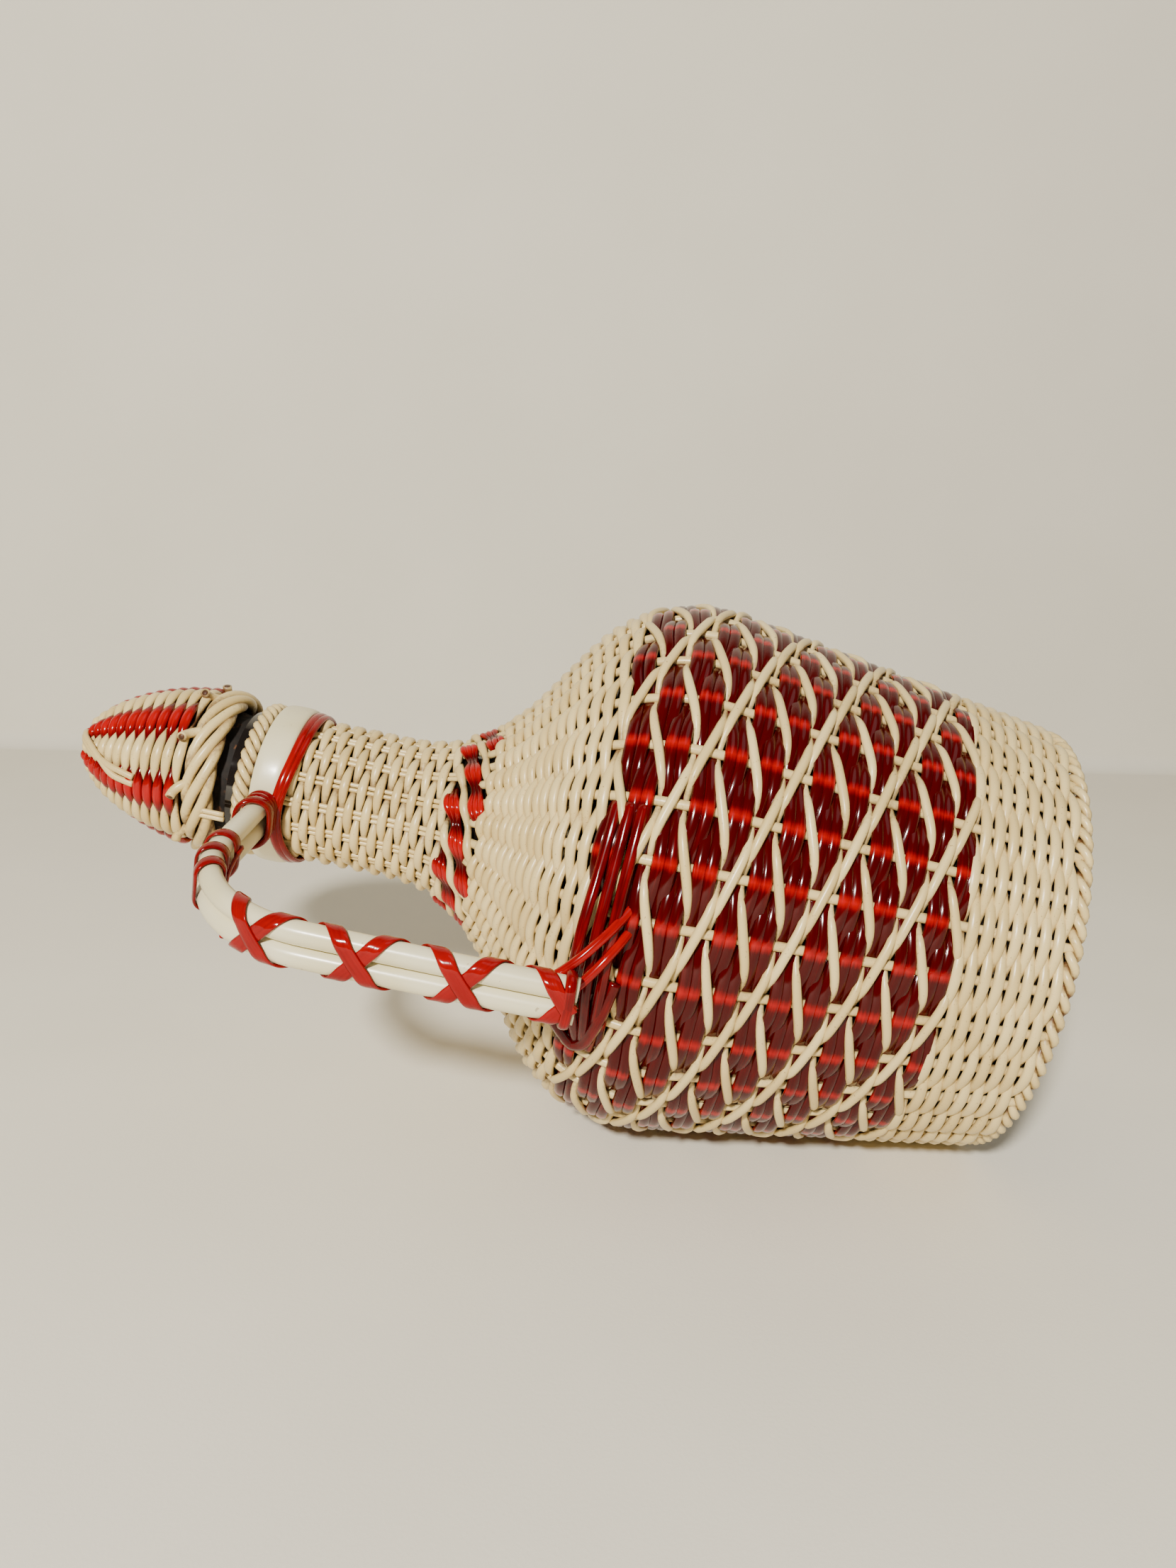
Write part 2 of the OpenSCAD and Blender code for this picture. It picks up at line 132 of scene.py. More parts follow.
# %% [markdown]
# A cane is a flattened tube that follows a line. Blender's curves can do that with a bevel, but they
# can't change the width and thickness separately along the way, and a woven cane does both: it is wide
# and proud where it passes over a stake, narrow and flat where it dives behind. So the tube is swept
# here with numpy. Each point also stores a few numbers that the finishes read later: how high it sits,
# whether a stake backs it, where it is across and along the cane, and the cane's own tone.

# %% The cane sweeper
rng = np.random.default_rng(7)
DEG = math.pi / 180
FACTS = ("high", "backed", "across", "along", "tone")


def unit(vectors):
    return vectors / np.maximum(np.linalg.norm(vectors, axis=-1, keepdims=True), 1e-9)


def canes(line, outward, wide, thick, closed=True, high=1.0, backed=0.0, sides=8, square=1.0):
    """Sweeps an oval along each line of an array (canes, samples, 3), and returns its mesh data."""
    line = np.asarray(line, float)
    if line.ndim == 2:
        line, outward = line[None], np.asarray(outward)[None]
    count, samples = line.shape[:2]
    shape = (count, samples)
    wide, thick, high, backed = (np.broadcast_to(x, shape) for x in (wide, thick, high, backed))
    if closed:
        tangent = unit(np.roll(line, -1, 1) - np.roll(line, 1, 1))
    else:
        tangent = unit(np.gradient(line, axis=1))
    outward = unit(outward - np.sum(outward * tangent, -1, keepdims=True) * tangent)
    sideways = np.cross(tangent, outward)
    turn = np.arange(sides) * 2 * math.pi / sides
    c, s = (np.sign(x) * np.abs(x) ** square for x in (np.cos(turn), np.sin(turn)))
    points = (line[:, :, None] + sideways[:, :, None] * (wide[:, :, None] * c)[..., None]
              + outward[:, :, None] * (thick[:, :, None] * s)[..., None])
    index = np.arange(points[..., 0].size).reshape(count, samples, sides)
    ahead = np.roll(index, -1, 1)
    quads = np.stack([index, ahead, np.roll(ahead, -1, 2), np.roll(index, -1, 2)], -1)
    faces = quads.reshape(-1, 4).tolist() if closed else quads[:, :-1].reshape(-1, 4).tolist()
    if not closed:
        faces += index[:, 0].tolist() + index[:, -1, ::-1].tolist()
    steps = np.linalg.norm(np.diff(line, axis=1), axis=-1)
    along = np.concatenate([np.zeros((count, 1)), np.cumsum(steps, 1)], 1)
    facts = {
        # high also counts a cane's inner side as low, and the finishes darken low points: partly painted
        # shade on that side
        "high": 0.65 * high[:, :, None] + 0.35 * (0.5 + 0.5 * s),
        "backed": backed[:, :, None] + 0 * s,
        "across": c + 0 * high[:, :, None],
        "along": along[:, :, None] + 0 * s,
        "tone": rng.random(count)[:, None, None] + 0 * high[:, :, None] * s,
    }
    return points.reshape(-1, 3), faces, {k: v.reshape(-1) for k, v in facts.items()}


def piece(name, parts, finish, body, slot, *replaced):
    """Joins swept parts into one smooth object that rides on a body and stands for CAD nodes."""
    points, faces, offset = [], [], 0
    for part_points, part_faces, _ in parts:
        faces += [[i + offset for i in face] for face in part_faces]
        points.append(part_points)
        offset += len(part_points)
    mesh = bpy.data.meshes.new(name)
    mesh.from_pydata((np.concatenate(points) * MM).tolist(), [], faces)
    for fact in FACTS:
        values = np.concatenate([part[2][fact] for part in parts]).astype(np.float32)
        mesh.attributes.new(fact, "FLOAT", "POINT").data.foreach_set("value", values)
    mesh.polygons.foreach_set("use_smooth", np.ones(len(mesh.polygons), bool))
    mesh.materials.append(finish)
    mesh.update()
    thing = bpy.data.objects.new(name, mesh)
    bpy.context.scene.collection.objects.link(thing)
    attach(thing, body)
    if replaced:
        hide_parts(*replaced)
    print(f"{name}: {len(mesh.polygons)} faces")
    return thing


# %% [markdown]
# Finishes come before the pieces. Shader maths reads best as plain sums, so a small class wraps a
# socket: adding or multiplying two of them adds the Math node that does it. Colours go through Mix
# nodes, because a Math node would turn them grey. Every other node comes from one method.

# %% Writing finishes as sums


class Value:
    """A number socket that can be used in sums."""

    def __init__(self, finish, socket):
        self.finish, self.socket = finish, socket

    def _with(self, operation, a, b=0.0, clamp=False):
        return self.finish.node("ShaderNodeMath", {"operation": operation, "use_clamp": clamp}, {0: a, 1: b})

    def __add__(self, other): return self._with("ADD", self, other)
    def __radd__(self, other): return self._with("ADD", other, self)
    def __sub__(self, other): return self._with("SUBTRACT", self, other)
    def __rsub__(self, other): return self._with("SUBTRACT", other, self)
    def __mul__(self, other): return self._with("MULTIPLY", self, other)
    def __rmul__(self, other): return self._with("MULTIPLY", other, self)

    def clamped(self):
        return self._with("ADD", self, 0.0, clamp=True)

    def between(self, low, high):
        """0 below low, 1 above high, smooth in between."""
        settings = {"interpolation_type": "SMOOTHSTEP"}
        sockets = {"Value": self, "From Min": low, "From Max": high}
        return self.finish.node("ShaderNodeMapRange", settings, sockets, "Result")


class Finish:
    """A material under construction, with its Principled shader."""

    def __init__(self, name, **constants):
        self.material = bpy.data.materials.new(name)
        self.material.use_nodes = True
        self.nodes = self.material.node_tree.nodes
        self.links = self.material.node_tree.links
        self.shader = self.nodes["Principled BSDF"]
        for socket, value in constants.items():
            self.shader.inputs[socket.replace("_", " ")].default_value = value

    def node(self, kind, settings=None, sockets=None, output=0):
        made = self.nodes.new(kind)
        for key, value in (settings or {}).items():
            setattr(made, key, value)
        for key, value in (sockets or {}).items():
            self.feed(made.inputs[key], value)
        return Value(self, made.outputs[output])

    def feed(self, socket, value):
        if isinstance(value, Value):
            self.links.new(value.socket, socket)
        else:
            socket.default_value = value

    def set(self, **sockets):
        for socket, value in sockets.items():
            self.feed(self.shader.inputs[socket.replace("_", " ")], value)

    def fact(self, name):
        return self.node("ShaderNodeAttribute", {"attribute_name": name}, output="Fac")

    def where(self):
        return self.node("ShaderNodeTexCoord", output="Object")

    def vector(self, x, y, z):
        return self.node("ShaderNodeCombineXYZ", None, {0: x, 1: y, 2: z})

    def noise(self, vector, scale, detail=2.0):
        sockets = {"Vector": vector, "Scale": scale, "Detail": detail}
        return self.node("ShaderNodeTexNoise", None, sockets, "Fac")

    def mix(self, amount, a, b):
        sockets = {0: amount, 6: a, 7: b}
        return self.node("ShaderNodeMix", {"data_type": "RGBA"}, sockets, 2)

    def bump(self, height, strength, distance=0.0003):
        sockets = {"Height": height, "Strength": strength, "Distance": distance}
        return self.node("ShaderNodeBump", None, sockets, "Normal")


def colour(red, green, blue):
    """A colour given as on a paint card, 0 to 255, turned to the linear values that Blender takes."""
    return tuple((c / 255 / 12.92) if c < 11 else ((c / 255 + 0.055) / 1.055) ** 2.4
                 for c in (red, green, blue)) + (1.0,)


print("cream in linear light:", [round(c, 3) for c in colour(222, 209, 166)])

# %% [markdown]
# ** Cream cane.** Old plastic tubing has a satin surface, yellower on some canes than on others. It turns brown
# wherever a point sits low: where a cane dives behind a stake, on its inner side and beside the crossings.
# That is partly real dirt and partly painted shade for the recesses. The height stored on each point tells
# the shader where that is, and noise breaks the edge of the darkening up.

# %% Cream cane


def cream_finish(name, dirt_and_shade=1.0, base=(226, 202, 142), deep=(96, 60, 26)):
    f = Finish(name, Coat_Weight=0.12, Coat_Roughness=0.25, IOR=1.48)
    where = f.where()
    high, tone = f.fact("high"), f.fact("tone")
    broad = f.noise(where, 55.0, 3.0)
    fine = f.noise(where, 900.0, 4.0)
    yellowed = f.mix((tone * 0.6 + broad * 0.5).between(0.2, 0.9), colour(*base), colour(210, 184, 122))
    # painted shade together with real dirt: low points, a cane's inner side and its dives behind stakes turn
    # brown
    grime_and_shade = ((1.0 - high) * 1.15 + (broad - 0.5) * 0.9 + (fine - 0.5) * 0.5).between(0.30, 0.90) * dirt_and_shade
    toned = f.mix(grime_and_shade, yellowed, colour(*deep))
    specks = f.noise(where, 1500.0, 1.0).between(0.70, 0.76)
    spotted = f.mix(specks * 0.55, toned, colour(112, 78, 44))
    f.set(Base_Color=spotted, Roughness=(grime_and_shade * 0.25 + fine * 0.12 + 0.27).clamped(),
          Normal=f.bump(fine, 0.22, 0.00012))
    return f.material


CREAM = cream_finish("cream_cane")
print("made", CREAM.name)

# %% [markdown]
# **Red cane.** The red tubing is glossy and lets light through: over a pale stake it is bright, over
# the dark glass it is deep blood red. Real transmission would be slow and noisy, so the point's
# "backed" number picks between the two reds. Streaks run along the cane, from how it was drawn.

# %% Red cane


def red_finish(name, bright=(172, 2, 8), dark=(66, 0, 1), least=0.0):
    f = Finish(name, Specular_IOR_Level=0.2, Coat_Weight=0.22, Coat_Roughness=0.06, IOR=1.45)
    across, along, tone = f.fact("across"), f.fact("along"), f.fact("tone")
    lines = f.noise(f.vector(across * 2.2, along * 0.035, tone * 40.0), 1.6, 3.0)
    patches = f.noise(f.where(), 120.0, 2.0)
    lit = (f.fact("backed") * 0.85 + (lines - 0.5) * 0.7 + (patches - 0.5) * 0.5 + least).between(0.0, 1.0)
    f.set(Base_Color=f.mix(lit, colour(*dark), colour(*bright)),
          Roughness=(patches * 0.10 + 0.09).clamped(),
          Normal=f.bump(lines, 0.25, 0.0002))
    return f.material


RED = red_finish("red_cane")
TAPE = red_finish("red_tape", bright=(148, 1, 5), dark=(84, 0, 2), least=0.05)
print("made", RED.name, TAPE.name)

# %% [markdown]
# ** Pale tube, glass and cork.** The handle and the neck's sleeve are one smooth, thicker tube, a little
# greener than the cane and hardly soiled; its inner side and low points darken a little, partly dirt and
# partly painted shade.
# The glass shows only through gaps, almost black. The cork sits inside the neck and shows when the stopper is
# pulled;
# the stopper's core is painted near black, as painted shade for the gap under the cap's border.

# %% Pale tube, glass and cork


def tube_finish(name):
    f = Finish(name, Coat_Weight=0.25, Coat_Roughness=0.18, IOR=1.48)
    where = f.where()
    broad, fine = f.noise(where, 28.0, 3.0), f.noise(where, 1100.0, 3.0)
    clean = f.mix(broad.between(0.3, 0.75), colour(226, 218, 182), colour(212, 201, 156))
    # painted shade together with dirt: the tube's inner side and its low points darken
    grime_and_shade = ((1.0 - f.fact("high")) * 0.9 + (broad - 0.5)).between(0.45, 1.1)
    specks = f.noise(where, 700.0, 1.0).between(0.74, 0.79)
    soiled_and_shaded = f.mix(grime_and_shade * 0.8, clean, colour(150, 118, 72))
    f.set(Base_Color=f.mix(specks * 0.5, soiled_and_shaded, colour(120, 96, 66)),
          Roughness=(fine * 0.10 + broad * 0.12 + 0.22).clamped(), Normal=f.bump(fine, 0.15, 0.0001))
    return f.material


def glass_finish(name):
    f = Finish(name, Coat_Weight=0.4, Coat_Roughness=0.03, IOR=1.52)
    smears = f.noise(f.where(), 60.0, 4.0)
    f.set(Base_Color=f.mix(smears, colour(14, 12, 10), colour(30, 22, 17)),
          Roughness=(smears.between(0.45, 0.8) * 0.25 + 0.05), Normal=f.bump(smears, 0.12, 0.0008))
    return f.material


def cork_finish(name, tans):
    f = Finish(name, IOR=1.4)
    where = f.where()
    grain = f.node("ShaderNodeTexVoronoi", {"feature": "F1"}, {"Vector": where, "Scale": 420.0}, "Distance")
    pits = f.noise(where, 260.0, 4.0)
    tan = f.mix(grain.between(0.1, 0.7), *tans)
    f.set(Base_Color=f.mix(pits.between(0.58, 0.68), tan, colour(88, 56, 32)),
          Roughness=(pits * 0.2 + 0.68).clamped(), Normal=f.bump(pits, 0.5, 0.0006))
    return f.material


PALE = tube_finish("pale_tube")
CUT = cream_finish("cut_cane_end", dirt_and_shade=1.0, base=(140, 86, 44), deep=(70, 38, 18))
frame["nodes"]["glass_bottle"].data.materials.clear()
frame["nodes"]["glass_bottle"].data.materials.append(glass_finish("dark_glass"))
# the stopper core's near-black colours are painted shade for the gap under the cap's border, not the cork's
# own colour
for corky, tans in (("cork", (colour(186, 146, 98), colour(150, 108, 66))),
                    ("stopper_core", (colour(30, 22, 16), colour(20, 15, 11)))):
    frame["nodes"][corky].data.materials.clear()
    frame["nodes"][corky].data.materials.append(cork_finish("cork_" + corky, tans))
print("CAD nodes kept: glass_bottle, cork, stopper_core")

# %% [markdown]
# **The stakes** are the upright canes that everything is woven round: 32 of them on the body. They
# stand half way through the cover's depth, so that one cane can pass outside and the next inside.

# %% Body stakes
STAKES = 32
FIRST_STAKE = 5.625 * DEG
PER_STAKE = 8
STAKE_LIFT = 2.5
stake_heights = np.linspace(4.5, 185.0, 110)[None]
stake_angles = (FIRST_STAKE - np.arange(STAKES) * 2 * math.pi / STAKES)[:, None]
line, outward = GLASS.lay(stake_heights, stake_angles, STAKE_LIFT)
piece("body_uprights", [canes(line, outward, 1.5, 1.3, closed=False, high=0.62, sides=10)],
      CREAM, "bottle", "cream_cane", "body_stakes")

# %% [markdown]
# **Plain weave.** The foot and the shoulder are plain weave: each cane goes over one stake and behind
# the next, and its neighbours do the opposite. Seen from outside, a cane swells to its full width over
# the stake and narrows to a point as it dives, which gives the spindle-shaped stitches.

# %% Plain weave


def weave(skin, heights, stakes, first, low, high, tip, belly, thick, reach=0.75, per=PER_STAKE, parity=0):
    """Canes that run round a skin, over every other stake. Returns the mesh data of all the rows."""
    turn = np.arange(stakes * per) / per
    row = np.arange(len(heights))[:, None] + parity
    over = 0.5 + 0.5 * np.cos(math.pi * (turn[None] - row))
    rise = over ** reach
    wander = 0.12 * np.sin(turn[None] * 2.4 + row * 1.7)
    line, outward = skin.lay(heights[:, None] + wander, first - turn * 2 * math.pi / stakes,
                             low + (high - low) * rise)
    wide = tip + (belly - tip) * over ** 0.8
    return canes(line, outward, wide, thick * (0.62 + 0.38 * rise), high=rise, backed=over ** 2)


BEHIND, OVER = 1.0, 4.6
foot_heights = GLASS.rows(6.6, 39.0, 15)
piece("foot_rows", [weave(GLASS, foot_heights, STAKES, FIRST_STAKE, BEHIND, OVER, 1.0, 1.8, 1.25, reach=0.6)],
      CREAM, "bottle", "cream_cane", "foot_weave")
shoulder_heights = GLASS.rows(142.0, 181.0, 26)
piece("shoulder_rows", [weave(GLASS, shoulder_heights, STAKES, FIRST_STAKE, BEHIND, OVER, 0.95, 1.85, 1.3)],
      CREAM, "bottle", "cream_cane", "shoulder_weave")
print("foot rows:", len(foot_heights), "shoulder rows:", len(shoulder_heights))

# %% [markdown]
# **The foot's edge** is two canes twisted round each other, which hides where the stakes turn in.
# A rope is two helices half a turn apart. The same helper makes the small plait under the stopper and
# the border of its cap, with more strands and a flatter section.

# %% A two-cane rope


def rope(height, reach, radius, cane_radius, twists, strands=2, flat=1.0):
    """Canes twisted round a ring at a height and a reach."""
    turn = np.linspace(0, 2 * math.pi, abs(twists) * 22, endpoint=False)[None]
    phase = turn * twists + (np.arange(strands) * 2 * math.pi / strands)[:, None]
    out = radial(turn) * np.cos(phase)[..., None] + ALONG * np.sin(phase)[..., None]
    line = place(height + radius * flat * np.sin(phase), turn, reach + radius * np.cos(phase))
    return canes(line, out, cane_radius, cane_radius, high=0.45 + 0.4 * np.cos(phase))


piece("foot_edge", [rope(3.5, 69.2, 1.25, 1.4, 40)], CREAM, "bottle", "cream_cane", "foot_rim")

# %% [markdown]
# **The red field.** Sixteen bands of two red canes cover the body. Each band passes over every other
# stake, and one cream cane goes with it, over the stakes that the band passes behind. From band to band
# the pattern steps by one stake, so the cream canes make long diagonals and each stake shows bare
# between them. A wave along the turn gives each cane its rise and fall, and a slower wave its sway.

# %% Red bands and the cream canes that cross them
RED_FROM, BANDS, BAND_PITCH = 38.0, 16, 6.5
band = np.arange(BANDS)[:, None]
band_height = RED_FROM + (band + 0.5) * BAND_PITCH
FIELD_SAMPLES = 14
turn = np.arange(STAKES * FIELD_SAMPLES)[None] / FIELD_SAMPLES
step = turn - ((band - 11) % 4)
red_over = 0.5 - 0.5 * np.cos(math.pi * step)
cream_over = 1 - red_over
field_angle = FIRST_STAKE - turn * 2 * math.pi / STAKES

red_parts = []
for side in (-1, 1):
    sway = side * 1.55 - 1.3 * np.sin(math.pi * step / 2)
    line, outward = GLASS.lay(band_height + sway, field_angle, 0.9 + 3.5 * red_over ** 0.45)
    red_parts.append(canes(line, outward, 1.95, 0.85 + 0.2 * red_over, high=red_over,
                           backed=0.85 * red_over ** 40))
piece("red_bands", red_parts, RED, "bottle", "red_cane", "red_weave")

cream_sway = 3.2 * np.sin(math.pi * step / 2)
cream_rise = 1 - (1 - cream_over) ** 3
line, outward = GLASS.lay(band_height + cream_sway, field_angle, 1.0 + 3.8 * cream_rise)
piece("cream_crossings", [canes(line, outward, 1.1 + 0.4 * cream_over, 1.0 + 0.25 * cream_rise,
                                high=0.35 + 0.65 * cream_over)],
      CREAM, "bottle", "cream_cane", "crossing_canes")
print("red canes:", 2 * BANDS, "cream canes:", BANDS)

# %% [markdown]
# **The collar** gathers the 32 stakes into 16 pairs at the foot of the neck. Chains of stitches run
# slantwise across it, eight red ones of three canes and eight cream ones of a single cane. A chain
# bulges over each pair that it crosses and dives at its ends.

# %% Collar chains
PAIRS = 16
PAIR_TURN = 360 / PAIRS
FIRST_PAIR = 25.0


def chain(first_angle, offset, wide, thick):
    """One cane of a chain, from the neck's side down to the shoulder's side."""
    t = np.linspace(-0.6, 2.6, 44)
    over = 0.5 + 0.5 * np.cos(2 * math.pi * t)
    ends = np.clip(np.minimum(t + 0.6, 2.6 - t) / 0.35, 0, 1)
    height = 192.6 - 4.6 * t + offset * (0.55 + 0.45 * over)
    line, outward = GLASS.lay(height, (first_angle - PAIR_TURN * t) * DEG, 0.4 + ends * (2.3 + 1.5 * over))
    return canes(line, outward, wide * (0.72 + 0.28 * over), thick, closed=False,
                 high=ends * (0.4 + 0.6 * over), backed=over)


red_chains, cream_chains = [], []
for k in range(8):
    start = FIRST_PAIR + k * 2 * PAIR_TURN
    red_chains += [chain(start, offset, 1.15, 1.0) for offset in (-2.0, 0.0, 2.0)]
    cream_chains.append(chain(start - PAIR_TURN, 0.0, 1.6, 1.25))
piece("collar_red_chains", red_chains, RED, "bottle", "red_cane", "collar_red")
piece("collar_cream_chains", cream_chains, CREAM, "bottle", "cream_cane", "collar_cream")

# %% [markdown]
# **The neck** is the tidiest weaving: rings three millimetres apart in a brick pattern over pairs of
# thin sticks, whose bare lengths show as small bright blocks between the stitches.

# %% Neck sticks and rings
STICK_LIFT = 1.9
stick_heights = np.linspace(183.5, 258.0, 50)[None]
pair_angles = np.repeat((FIRST_PAIR + np.arange(PAIRS) * PAIR_TURN) * DEG, 2)[:, None]
reach_there = np.interp(stick_heights, GLASS.heights, GLASS.radii) + STICK_LIFT
spread = np.tile([-0.85, 0.85], PAIRS)[:, None] / reach_there
line, outward = GLASS.lay(stick_heights, pair_angles + spread, STICK_LIFT)
piece("neck_sticks", [canes(line, outward, 0.8, 0.8, closed=False, high=0.75)],
      CREAM, "bottle", "cream_cane", "neck_stakes")
RING_PITCH = 2.95
neck_heights = np.arange(196.15, 252.0, RING_PITCH)
piece("neck_rows", [weave(GLASS, neck_heights, PAIRS, FIRST_PAIR * DEG, 0.6, 3.25, 1.1, 1.62, 1.2,
                          reach=0.7, per=14)],
      CREAM, "bottle", "cream_cane", "neck_weave")
print("neck rings:", len(neck_heights))

# %% [markdown]
# **Sleeve, ribbon and plait.** Above the rings a broad pale tube is pressed flat round the neck, with a
# flat red ribbon of two strands at its edge and a small plait beside the mouth. Each is a ring, but the
# cross-sections differ, so the sweeper's "square" number fattens the sleeve's corners. The handle's
# lashing pulls the ribbon up over the sleeve at the front.

# %% Neck trims
HOOP_TURN = np.linspace(0, 2 * math.pi, 180, endpoint=False)


def hoop(height, reach, wide, thick, square=1.0, sides=12, wobble=0.0, high=0.8, backed=0.6):
    """A ring round the neck; its height and reach may change along the turn."""
    sway = wobble * np.sin(3 * HOOP_TURN + 1.0)
    return canes(place(height + sway, HOOP_TURN, reach), radial(HOOP_TURN), wide, thick, sides=sides,
                 square=square, high=high, backed=backed)


piece("neck_sleeve", [hoop(256.6, 25.9, 5.3, 1.9, square=0.62, sides=28, wobble=0.15, high=1.0)],
      PALE, "bottle", "pale_tube", "neck_strap")
away_from_handle = (HOOP_TURN + 0.13 + math.pi) % (2 * math.pi) - math.pi
pull = np.exp(-(away_from_handle / 0.66) ** 2)
piece("neck_ribbon", [hoop(250.0 + 2.6 * pull, 26.0 + 1.9 * pull, 1.5, 1.0),
                      hoop(248.0 + 3.4 * pull, 25.6 + 1.6 * pull, 1.4, 1.0)],
      RED, "bottle", "red_cane", "neck_red_band")
piece("neck_plait", [rope(265.2, 24.6, 1.35, 1.3, 13, strands=3, flat=1.3)],
      CREAM, "bottle", "cream_cane", "neck_border")

# %% [markdown]
# **The handle** is two pale tubes side by side. Their common line lies in one plane through the bottle's
# axis, seven and a half degrees below the front: a straight leg out of the sleeve, a quarter bend, and
# a slow sweep back to the body. Arcs and straights are easy to write and easy to check against the CAD.

# %% The handle's line
HANDLE_ANGLE = -7.5 * DEG
TUBE_R, PAIR_OFF = 3.5, 3.6
LEG_H, LEG_FROM, REACH, BEND = 256.5, 27.4, 102.0, 39.0
FOOT_END = np.array([100.6, 140.8])
bend_centre = np.array([REACH - BEND, LEG_H - BEND])
drop, back = bend_centre[1] - FOOT_END[1], REACH - FOOT_END[0]
sweep_r = (drop * drop + back * back) / (2 * back)
LEG_LEN = bend_centre[0] - LEG_FROM
BEND_LEN = BEND * math.pi / 2
SWEEP_LEN = sweep_r * math.asin(drop / sweep_r)
HANDLE_LEN = LEG_LEN + BEND_LEN + SWEEP_LEN
OUTWARDS, ACROSS = radial(HANDLE_ANGLE), radial(HANDLE_ANGLE + math.pi / 2)


def handle_line(s):
    """The line's reach and height at distance s, and its direction there."""
    s = np.asarray(s, float)
    on_bend = math.pi / 2 - np.clip(s - LEG_LEN, 0, BEND_LEN) / BEND
    on_sweep = np.clip(s - LEG_LEN - BEND_LEN, 0, None) / sweep_r
    bent = bend_centre + BEND * np.stack([np.cos(on_bend), np.sin(on_bend)], -1)
    sweep_centre = np.array([REACH - sweep_r, bend_centre[1]])
    swept = sweep_centre + sweep_r * np.stack([np.cos(on_sweep), -np.sin(on_sweep)], -1)
    straight = np.stack([LEG_FROM + s, np.full_like(s, LEG_H)], -1)
    leg, bend = (s < LEG_LEN)[..., None], (s < LEG_LEN + BEND_LEN)[..., None]
    point = np.where(leg, straight, np.where(bend, bent, swept))
    heading = np.where(leg, [1.0, 0.0], np.where(
        bend, np.stack([np.sin(on_bend), -np.cos(on_bend)], -1),
        np.stack([-np.sin(on_sweep), -np.cos(on_sweep)], -1)))
    return point, heading


def on_handle(s, out, over):
    """Points beside the handle's line: out in its plane, away from the inside, and over across it."""
    point, heading = handle_line(s)
    out, over = np.broadcast_to(out, np.shape(s))[..., None], np.broadcast_to(over, np.shape(s))[..., None]
    flat = point + out * np.stack([-heading[..., 1], heading[..., 0]], -1)
    return FOOT + flat[..., 1:] * ALONG + flat[..., :1] * OUTWARDS + over * ACROSS


s_tube = np.linspace(-3.0, HANDLE_LEN, 90)
tubes = []
for side in (-1, 1):
    line = on_handle(s_tube, 0.0, side * PAIR_OFF)
    toned = 0.85 + 0.15 * np.sin(s_tube * 0.08)
    tubes.append(canes(line, np.broadcast_to(ACROSS, line.shape), TUBE_R, TUBE_R, closed=False,
                       high=toned, sides=28))
piece("handle_pair", tubes, PALE, "bottle", "pale_tube", "handle_tube_upper", "handle_tube_lower")
print("handle length, mm:", round(HANDLE_LEN, 1))

# %% [markdown]
# **Tape and lashings.** Two flat red tapes wind round both tubes in opposite directions and cross on the
# outside every 29 mm. Their path hugs the pair's outline, which is two half circles joined by flats.
# The lashings at both ends are rounder canes pulled tight.

# %% Round the pair


def pair_outline(turn, lift):
    """Where a turn round both tubes lies, as (out, over), and the way out of the outline there."""
    r = TUBE_R + lift
    flat = math.pi * PAIR_OFF / (2 * PAIR_OFF + math.pi * TUBE_R)
    turn = (np.asarray(turn, float) + flat) % (2 * math.pi) - flat
    bow = math.pi - 2 * flat
    up = np.clip((turn - flat) / bow, 0, 1) * math.pi
    down = math.pi + np.clip((turn - math.pi - flat) / bow, 0, 1) * math.pi
    on_front, on_top, on_back = turn < flat, turn < math.pi - flat, turn < math.pi + flat
    over = np.where(on_front, PAIR_OFF * turn / flat, np.where(on_top, PAIR_OFF + r * np.sin(up), np.where(
        on_back, PAIR_OFF * (math.pi - turn) / flat, -PAIR_OFF + r * np.sin(down))))
    out = np.where(on_front, r, np.where(on_top, r * np.cos(up), np.where(on_back, -r, r * np.cos(down))))
    lean_over = np.where(on_front, 0, np.where(on_top, np.sin(up), np.where(on_back, 0, np.sin(down))))
    lean_out = np.where(on_front, 1, np.where(on_top, np.cos(up), np.where(on_back, -1, np.cos(down))))
    return out, over, lean_out, lean_over


def wound(s, turn, lift, wide, thick, closed=False, square=1.0, backed=0.8):
    """A strip wound on the handle, at distances s and turns round the pair."""
    out, over, lean_out, lean_over = pair_outline(turn, lift)
    line = on_handle(s, out, over)
    outward = unit(on_handle(s, lean_out, lean_over) - on_handle(s, 0.0, 0.0))
    return canes(line, outward, wide, thick, closed=closed, high=0.9, backed=backed, square=square, sides=10)


TAPE_PITCH, FIRST_CROSSING = 29.0, 84.0
s_tape = np.linspace(FIRST_CROSSING - 0.55 * TAPE_PITCH, FIRST_CROSSING + 3.05 * TAPE_PITCH, 420)
phase = (s_tape - FIRST_CROSSING) / TAPE_PITCH * 2 * math.pi
piece("handle_tape_under", [wound(s_tape, phase, 0.4, 2.35, 0.42, square=0.8)],
      TAPE, "bottle", "red_cane", "handle_tape_inner")
piece("handle_tape_over", [wound(s_tape, -phase, 0.4 + 0.6 * (0.5 + 0.5 * np.cos(phase)) ** 4, 2.35, 0.42,
                                 square=0.8)],
      TAPE, "bottle", "red_cane", "handle_tape_outer")


def band_round(s, wide, tilt=0.0, lift=0.8, thick=0.9):
    """A closed band round the pair at distance s, tilted along the handle by tilt."""
    turn = np.linspace(0, 2 * math.pi, 72, endpoint=False)
    return wound(s + tilt * np.cos(turn), turn, lift, wide, thick, closed=True, backed=0.5)


